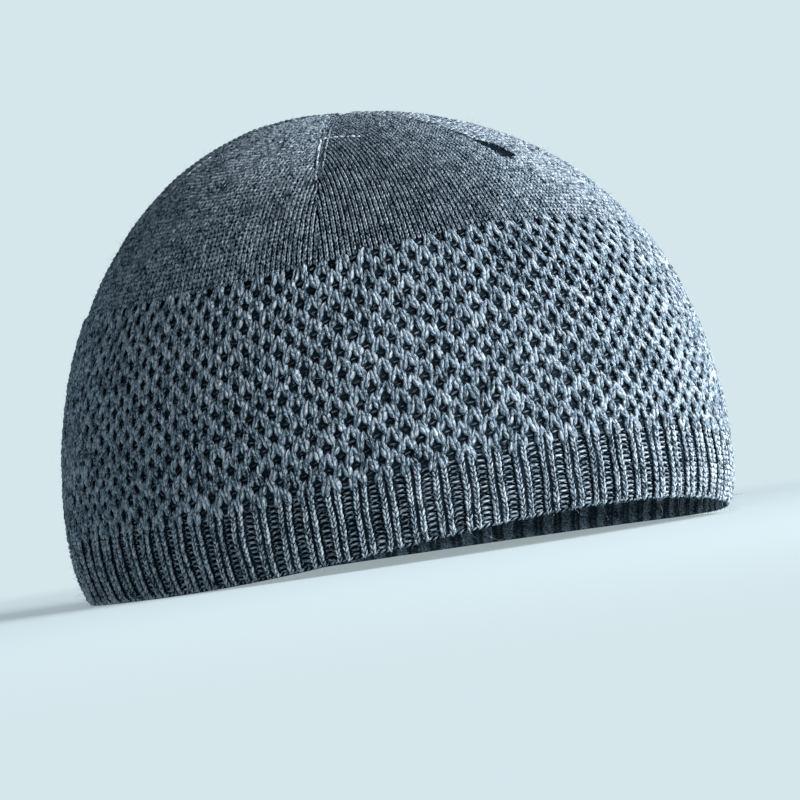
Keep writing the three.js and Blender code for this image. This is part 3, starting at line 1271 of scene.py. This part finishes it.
@dataclass
class DartSeam:
    """One dart: the chain that links it outside and the edges that stand inside the cap."""

    skin: CapSkin
    plan: CrownPlan
    dart: Dart
    start: float = 5 * MM
    stitch: float = 1.5
    star: float = 35.0
    arms: int = 6
    arm_pitch: float = 1.5
    arm_bow: float = 0.015
    fade: float = 6.0

    def place(self, flat: np.ndarray) -> np.ndarray:
        """Takes points along the dart, in millimetres aside, out and proud, onto the cap."""
        turn, width, length = self.dart.turn, self.skin.half_width, self.skin.half_length
        line = unit(np.array([width * math.sin(turn), -length * math.cos(turn)]))
        out, aside = flat[:, 1] * MM, flat[:, 0] * MM
        x = (line[0] * out + line[1] * aside) / width
        y = (line[1] * out - line[0] * aside) / length
        return self.skin.dome(np.arctan2(x, -y), np.hypot(x, y), -flat[:, 2] * MM)

    def outside(self) -> list:
        """A chain of stitches on each side of the groove, and the links across it, with painted
        shade that is deepest on the links down in the groove.
        """
        return [
            Strand(-0.85, 0.0, -0.66, 10, 0.62, 2.4, 0.8, 0.12),
            Strand(0.85, 0.7, -0.62, -10, 0.62, 2.4, 0.8, 0.05),
            Strand(0.0, 0.4, -1.5, 84, 0.45, 1.7, 0.5, 0.35),
        ]

    def open_edges(self) -> list:
        """The edges of the dart that stands open, darkened with painted shade, and the links on its
        far side.
        """
        return [
            Strand(-1.5, 0.0, -1.55, 10, 0.6, 2.2, 0.8, 0.60),
            Strand(1.5, 0.7, -1.0, -48, 0.6, 2.2, 0.8, 0.08),
            Strand(0.1, 0.3, -1.75, 82, 0.5, 2.9, 0.6, 0.50),
        ]

    def drawn_shut(self) -> list:
        """The stitches that fill the groove where it is drawn shut, darkened with painted shade."""
        return [
            Strand(-0.2, 0.2, -0.95, -14, 0.6, 2.3, 0.8, 0.2),
            Strand(0.25, 0.9, -0.95, 14, 0.6, 2.3, 0.8, 0.2),
        ]

    def bright(self) -> list:
        """The stretched stitches of the chains between the star and the foot of the dart, brightened
        with a painted highlight.
        """
        return [
            Strand(-0.95, 0.2, -0.44, 4, 0.50, 2.0, 0.7, -0.10),
            Strand(0.95, 0.9, -0.38, -4, 0.80, 2.3, 0.9, -0.55),
        ]

    def inside(self) -> list:
        """The two edges that stand in inside the cap, lightly darkened with painted shade."""
        return [
            Strand(-0.6, 0.0, -4.4, 24, 1.1, 2.4, 1.7, 0.1),
            Strand(0.6, 0.7, -4.4, -24, 1.1, 2.4, 1.7, 0.1),
            Strand(0.0, 0.3, -4.9, 0, 1.0, 2.3, 1.2, 0.1),
        ]

    def run(self, layer: StrandLayer, table: list, start: float, end: float, seed: int) -> Laid:
        """Strands all along a stretch of the dart, by its ends in millimetres from the apex."""
        count = int((end - start) / self.stitch)
        swatch = Swatch(table, 1, count, 1.0, self.stitch, seed=seed + self.dart.value)
        laid = layer.lay_all(swatch)
        laid.points[:, 1] += start
        return laid

    def star_arms(self, layer: StrandLayer) -> Laid:
        """The tight course that crosses the dart where its chains begin to stretch, brightened with
        a painted highlight.
        """
        arm = Strand(0.0, self.star, -0.25, 82, 0.48, 2.2, 0.8, -0.3)
        sizes = (2 * self.arms + 1, 1, self.arm_pitch, 1.0)
        laid = layer.lay_all(Swatch([arm], *sizes, seed=60 + self.dart.value))
        laid.points[:, 0] -= self.arm_pitch * self.arms
        laid.points[:, 1] += self.arm_bow * laid.points[:, 0] ** 2
        return laid

    def build(self, layer: StrandLayer) -> bpy.types.Object:
        """Makes the dart's links as one piece."""
        start, end = self.start / MM, self.plan.creases.length / MM
        parts = [self.run(layer, self.inside(), start, end, 40)]
        if self.dart is Dart.FRONT:
            parts.append(self.run(layer, self.open_edges(), start, end, 45))
        else:
            parts.append(self.run(layer, self.outside(), start, end, 41))
            parts.append(self.run(layer, self.drawn_shut(), start, end, 45))
            parts.append(self.run(layer, self.bright(), self.star, end - self.fade, 50))
            parts.append(self.star_arms(layer))
        laid = join_laid(parts)
        laid.points = self.place(laid.points)
        return make_piece(f"dart_links_{self.dart.name.lower()}", laid, layer.yarn)


@dataclass
class StrayFibres:
    """The short fibres that stand off the yarn all over, and the longer ones at the rim."""

    skin: CapSkin
    short_fibres: int = 6500
    long_fibres: int = 260
    short: tuple = (0.8 * MM, 2.6 * MM)
    long: tuple = (3 * MM, 8 * MM)
    thickness: float = 0.045 * MM
    short_sag: float = 0.12
    long_sag: float = 0.35
    short_stray: float = 0.9
    long_stray: float = 0.6
    least_out: float = 0.3
    short_root: float = 0.3 * MM
    long_root: float = 0.4 * MM
    long_band: tuple = (0.2 * MM, 3.0 * MM)
    # A painted highlight that lightens all stray fibres.
    brighter: float = 0.2
    seed: int = 77

    def hairs(self, roots: np.ndarray, ways: np.ndarray, lengths: np.ndarray, sag: float) -> Laid:
        """Closed three-sided hairs, each bent once on its way.

        Args:
            roots: Where they start.
            ways: The directions that they start in.
            lengths: Their lengths.
            sag: How far each bends aside, as a share of its length.

        Returns:
            The hairs as arrays.
        """
        chance = np.random.default_rng(self.seed + len(roots))
        count = len(roots)
        ways = unit(ways)
        aside = unit(np.cross(ways, chance.normal(size=(count, 3))))
        over = np.cross(ways, aside)
        bend = aside * (sag * lengths * chance.uniform(-1.0, 1.0, count))[:, None]
        rings = []
        for share, swell in ((0.35, 1.0), (0.75, 0.8)):
            middle = roots + ways * (lengths * share)[:, None] + bend * (4.0 * share * (1.0 - share))
            for corner in range(3):
                angle = 2.0 * math.pi * corner / 3.0
                spoke = aside * math.cos(angle) + over * math.sin(angle)
                rings.append(middle + spoke * (0.5 * self.thickness * swell))
        points = np.stack([roots, *rings, roots + ways * lengths[:, None]], axis=1)
        faces = [(0, 2, 1), (0, 3, 2), (0, 1, 3), (4, 5, 7), (5, 6, 7), (6, 4, 7)]
        for side in range(3):
            near, far = 1 + side, 1 + (side + 1) % 3
            faces += [(near, far + 3, near + 3), (near, far, far + 3)]
        starts = (np.arange(count) * 8)[:, None, None]
        laid = (np.array(faces)[None] + starts).reshape(-1, 3)
        tint = np.repeat(chance.uniform(0.4, 1.0, count), 8)
        flat = points.reshape(-1, 3)
        flat[:, 2] = np.maximum(flat[:, 2], 0.0)
        return Laid(flat, laid, tint, np.full(len(flat), -self.brighter), flat, flat / MM)

    def build(self, layer: StrandLayer) -> bpy.types.Object:
        """Scatters the fibres over the whole cap and along its rim, as one piece."""
        chance = np.random.default_rng(self.seed)
        height = np.sqrt(chance.uniform(0.0, 1.0, self.short_fibres))
        turn = chance.uniform(-np.pi, np.pi, self.short_fibres)
        z = self.skin.height * (1.0 - height**1.6)
        z = z + self.skin.arch_at(turn) * (1.0 - z / self.skin.height)
        points, outward = self.skin.on_skin(turn, self.skin.reach_at(z), z)
        ways = outward + chance.normal(size=points.shape) * self.short_stray
        inward = self.least_out - np.sum(unit(ways) * outward, axis=1)
        ways += outward * np.maximum(0.0, inward)[:, None]
        lengths = chance.uniform(*self.short, self.short_fibres)
        short = self.hairs(points - outward * self.short_root, ways, lengths, self.short_sag)
        turn = chance.uniform(-np.pi, np.pi, self.long_fibres)
        z = chance.uniform(*self.long_band, self.long_fibres) + self.skin.arch_at(turn)
        points, outward = self.skin.on_skin(turn, self.skin.reach_at(z), z)
        ways = (outward + chance.normal(size=points.shape)) * self.long_stray
        ways += np.array([0.0, 0.0, -0.5])
        lengths = chance.uniform(*self.long, self.long_fibres)
        long = self.hairs(points - outward * self.long_root, ways, lengths, self.long_sag)
        return make_piece("stray_fibres", join_laid([short, long]), layer.yarn)


def way_to(azimuth: float, elevation: float) -> Vector:
    """The direction to a place round the cap, from its angles in degrees."""
    turn, tilt = math.radians(azimuth), math.radians(elevation)
    level = math.cos(tilt)
    return Vector((math.sin(turn) * level, -math.cos(turn) * level, math.sin(tilt)))


@dataclass(frozen=True)
class Lamp:
    """One soft lamp that shines at the cap: its angles in degrees, side in metres and watts."""

    name: str
    azimuth: float
    elevation: float
    size: float
    power: float
    distance: float = 1.5

    def build(self, target: Vector) -> None:
        """Adds the lamp, which shines at the target."""
        data = bpy.data.lights.new(self.name, "AREA")
        data.size = self.size
        data.energy = self.power
        lamp = bpy.data.objects.new(self.name, data)
        way = way_to(self.azimuth, self.elevation)
        lamp.matrix_world = way.to_track_quat("Z", "Y").to_matrix().to_4x4()
        lamp.location = way * self.distance + target
        bpy.context.scene.collection.objects.link(lamp)


@dataclass(frozen=True)
class Studio:
    """The pale floor, the soft light and the camera at the photograph's angle."""

    azimuth: float = -31.0
    elevation: float = -1.2
    roll: float = 8.5
    distance: float = 1.2
    pixels_per_metre: float = 3770.0
    picture: int = 800
    sensor: float = 36.0
    aim_height: float = 41 * MM
    aim_right: float = 4.44 * MM
    aim_up: float = 0.97 * MM
    backdrop: tuple = (0.67, 0.80, 0.84)
    ambient: tuple = (0.72, 0.86, 1.0)
    ambient_strength: float = 0.27
    lamps: tuple = (
        Lamp("key_lamp", 36.0, 5.0, 1.6, 90.0),
        Lamp("front_lamp", 14.0, 14.0, 1.0, 18.0),
    )
    floor_radius: float = 6.0
    floor_near: float = 0.22
    floor_far: float = 0.8
    floor_glow: float = 0.45
    floor_sides: int = 96

    @property
    def target(self) -> Vector:
        """The place in the cap that the lamps and the camera turn round."""
        return Vector((0.0, 0.0, self.aim_height))

    def camera(self) -> None:
        """Sets the scene's camera."""
        turn, lean = math.radians(self.azimuth), math.radians(self.roll)
        back = way_to(self.azimuth, self.elevation)
        right = Vector((math.cos(turn), math.sin(turn), 0.0))
        up = back.cross(right)
        place = self.target + back * self.distance
        aim = self.target + right * self.aim_right + up * self.aim_up
        data = bpy.data.cameras.new("camera")
        data.sensor_width = self.sensor
        data.lens = self.pixels_per_metre * self.distance / self.picture * self.sensor
        data.clip_end = 50.0
        camera = bpy.data.objects.new("camera", data)
        away = (place - aim).normalized()
        side = right * math.cos(lean) - up * math.sin(lean)
        side = (side - away * side.dot(away)).normalized()
        over = away.cross(side)
        pose = Matrix((side, over, away)).transposed().to_4x4()
        pose.translation = place
        camera.matrix_world = pose
        bpy.context.scene.collection.objects.link(camera)
        bpy.context.scene.camera = camera

    def world(self) -> None:
        """A pale backdrop for the camera and a low cool light for the cap."""
        world = bpy.data.worlds.new("studio")
        world.use_nodes = True
        tree = world.node_tree
        tree.nodes.clear()
        seen = tree.nodes.new("ShaderNodeBackground")
        seen.inputs[0].default_value = (*self.backdrop, 1.0)
        lit = tree.nodes.new("ShaderNodeBackground")
        lit.inputs[0].default_value = (*self.ambient, 1.0)
        lit.inputs[1].default_value = self.ambient_strength
        path = tree.nodes.new("ShaderNodeLightPath")
        mix = tree.nodes.new("ShaderNodeMixShader")
        output = tree.nodes.new("ShaderNodeOutputWorld")
        tree.links.new(path.outputs["Is Camera Ray"], mix.inputs[0])
        tree.links.new(lit.outputs[0], mix.inputs[1])
        tree.links.new(seen.outputs[0], mix.inputs[2])
        tree.links.new(mix.outputs[0], output.inputs[0])
        bpy.context.scene.world = world

    def floor(self) -> None:
        """A pale floor that takes the cap's shadow and fades into the backdrop."""
        graph = YarnGraph("floor_paper")
        place = graph.node("ShaderNodeTexCoord", {}, {}, "Object")
        away = graph.node("ShaderNodeVectorMath", {"operation": "LENGTH"}, {0: place}, "Value")
        fade = graph.node(
            "ShaderNodeMapRange",
            {"interpolation_type": "SMOOTHSTEP"},
            {
                "Value": away,
                "From Min": self.floor_near,
                "From Max": self.floor_far,
                "To Min": self.floor_glow,
            },
            "Result",
        )
        paper = graph.node(
            "ShaderNodeBsdfPrincipled", {}, {"Base Color": (*self.backdrop, 1.0), "Roughness": 0.9}
        )
        glow = graph.node("ShaderNodeEmission", {}, {"Color": (*self.backdrop, 1.0)})
        material = graph.finish(graph.node("ShaderNodeMixShader", {}, {0: fade, 1: paper, 2: glow}))
        sides, radius = self.floor_sides, self.floor_radius
        points = [(0.0, 0.0, 0.0)]
        for side in range(sides):
            angle = 2.0 * math.pi * side / sides
            points.append((radius * math.cos(angle), radius * math.sin(angle), 0.0))
        faces = [(0, 1 + side, 1 + (side + 1) % sides) for side in range(sides)]
        mesh = bpy.data.meshes.new("floor")
        mesh.from_pydata(points, [], faces)
        mesh.materials.append(material)
        floor = bpy.data.objects.new("floor", mesh)
        bpy.context.scene.collection.objects.link(floor)

    def build(self) -> None:
        """Sets up the whole studio."""
        bpy.context.scene.view_settings.view_transform = "Standard"
        self.camera()
        self.world()
        self.floor()
        for lamp in self.lamps:
            lamp.build(self.target)


def dress(piece: bpy.types.Object, slot: str, *nodes: str) -> None:
    """Seats a finished piece on the cap's body in place of its solids.

    Args:
        piece: The finished piece.
        slot: Not used.
        nodes: The solids that it stands for.
    """
    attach(piece, "root")
    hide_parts(*nodes)
    LOG.info("%s: %d triangles", piece.name, len(piece.data.polygons))


def main() -> None:
    """Builds the studio and then the cap, from the rim up."""
    logging.basicConfig(level=logging.INFO, format="%(message)s")
    Studio().build()
    skin = CapSkin.from_frame()
    count = KnitCount()
    waver = KnitWaver()
    layer = StrandLayer(YarnFinish("heather_yarn").make())
    plan = CrownPlan(skin, CreaseSizes(), count.wales // len(Dart))
    band = RibBand(skin, count, waver)
    dress(band.build(layer), "rib_knit", "rib_band")
    for piece in MossSide(skin, count, waver, band).build(layer):
        dress(piece, "moss_knit", "moss_side")
    for piece in Crown(skin, count, waver, plan).build(layer):
        dress(piece, "plain_knit", "crown")
    for dart in Dart:
        seam = DartSeam(skin, plan, dart).build(layer)
        dress(seam, "linked_seam", f"dart_seam_{dart.name.lower()}")
    dress(StrayFibres(skin).build(layer), "moss_knit")
    layer.clear()


if __name__ == "__main__":
    main()
